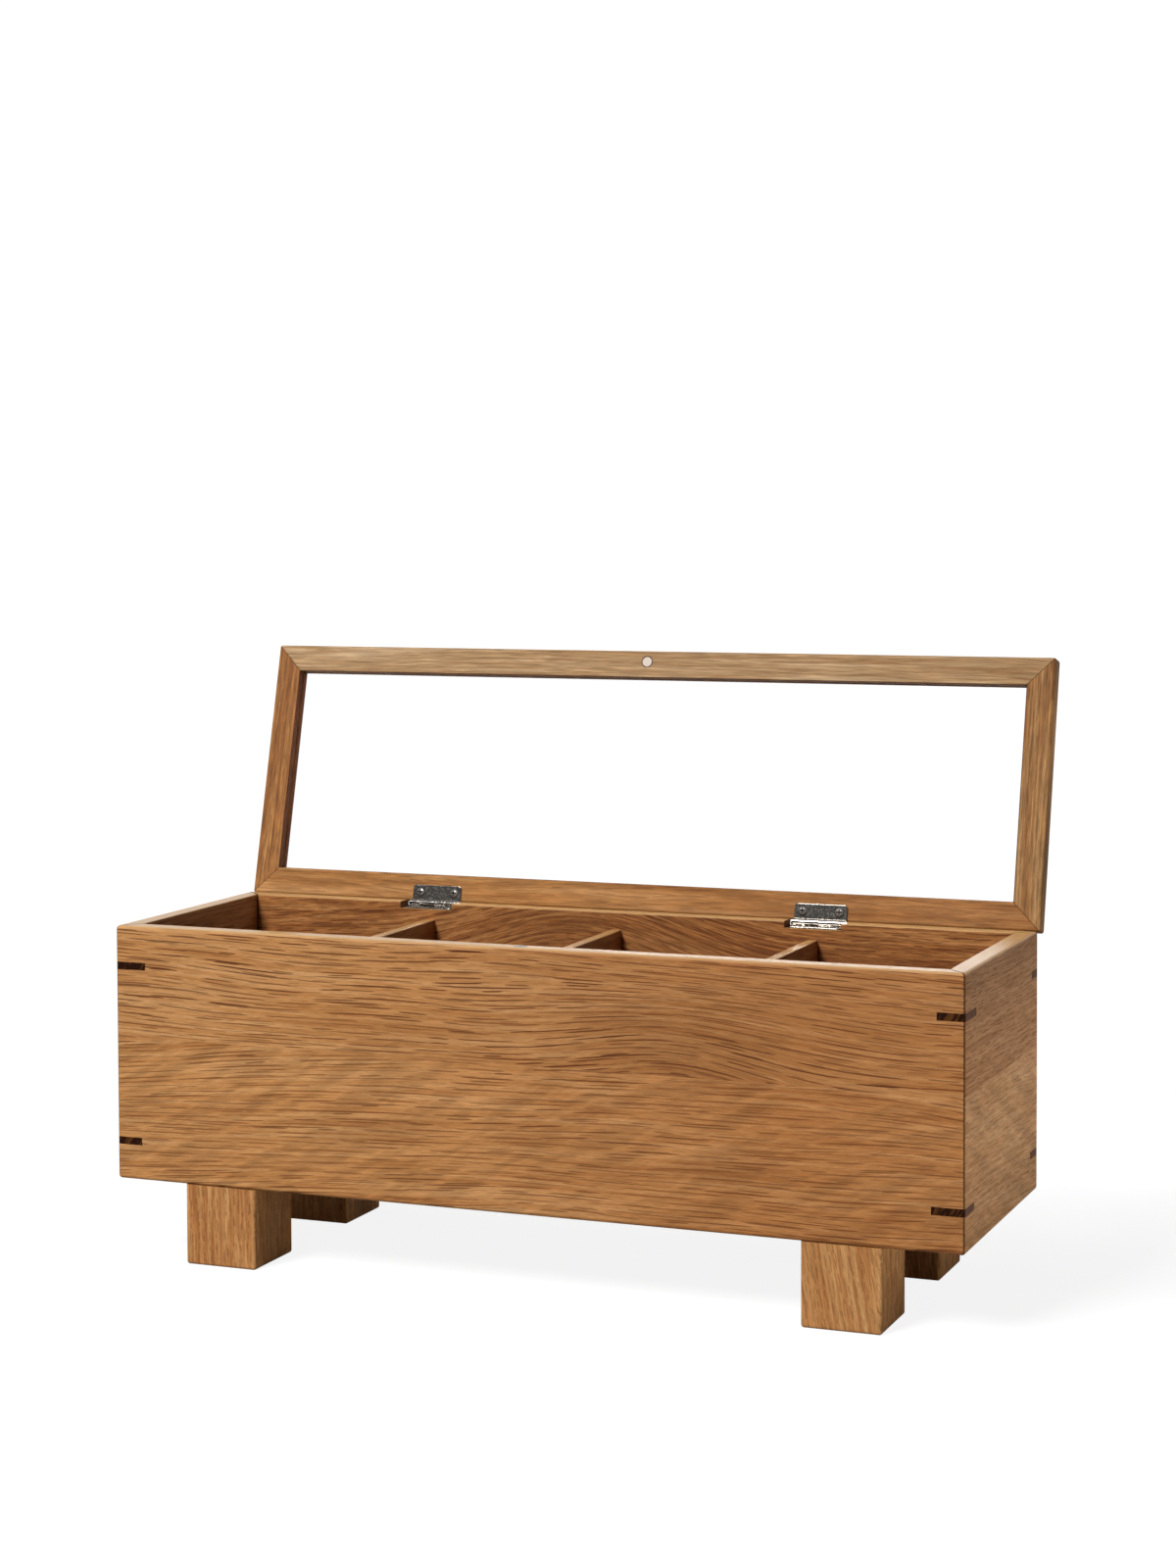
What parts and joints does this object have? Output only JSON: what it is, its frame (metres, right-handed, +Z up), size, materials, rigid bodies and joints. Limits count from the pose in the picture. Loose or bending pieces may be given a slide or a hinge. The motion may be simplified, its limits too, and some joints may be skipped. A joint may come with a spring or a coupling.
{
  "type": "tea organizer",
  "caption": "long oak box on block feet, divided for tea bags, with a hinged lid of clear glass in a thin oak frame",
  "frame": {"origin": "on the table, under the middle of the whole outline with the lid open", "axes": "+X along the front to the right, +Y to the back where the hinges are, +Z up"},
  "size_m": [0.35, 0.1468, 0.2398],
  "materials": {
    "oak": "oiled oak, satin",
    "dark_hardwood": "dark hardwood splines, oiled",
    "glass": "clear, polished",
    "hinge_steel": "nickel-plated steel, satin",
    "screw_steel": "bright zinc-plated steel",
    "magnet": "nickel-plated, bright"
  },
  "bodies": {
    "box": {"front_wall": "oak", "back_wall": "oak", "left_end_wall": "oak", "right_end_wall": "oak", "bottom_board": "oak", "divider_1": "oak", "divider_2": "oak", "divider_3": "oak", "spline_front_left_upper": "dark_hardwood", "spline_front_left_lower": "dark_hardwood", "spline_front_right_upper": "dark_hardwood", "spline_front_right_lower": "dark_hardwood", "spline_back_left_upper": "dark_hardwood", "spline_back_left_lower": "dark_hardwood", "spline_back_right_upper": "dark_hardwood", "spline_back_right_lower": "dark_hardwood", "foot_front_left": "oak", "foot_front_right": "oak", "foot_back_left": "oak", "foot_back_right": "oak", "foot_screws": "screw_steel", "box_magnet": "magnet", "left_hinge_box_leaf": "hinge_steel", "left_hinge_pin": "hinge_steel", "left_hinge_box_screws": "screw_steel", "right_hinge_box_leaf": "hinge_steel", "right_hinge_pin": "hinge_steel", "right_hinge_box_screws": "screw_steel"},
    "lid": {"lid_front_rail": "oak", "lid_back_rail": "oak", "lid_left_stile": "oak", "lid_right_stile": "oak", "lid_glass": "glass", "lid_magnet": "magnet", "left_hinge_lid_leaf": "hinge_steel", "left_hinge_lid_screws": "screw_steel", "right_hinge_lid_leaf": "hinge_steel", "right_hinge_lid_screws": "screw_steel"}
  },
  "joints": [
    {"name": "lid_hinge", "type": "hinge", "parent": "box", "child": "lid", "pos_m": [0, 0.03758, 0.13271], "axis": [1, 0, 0], "range_deg": [0, 104]}
  ]
}
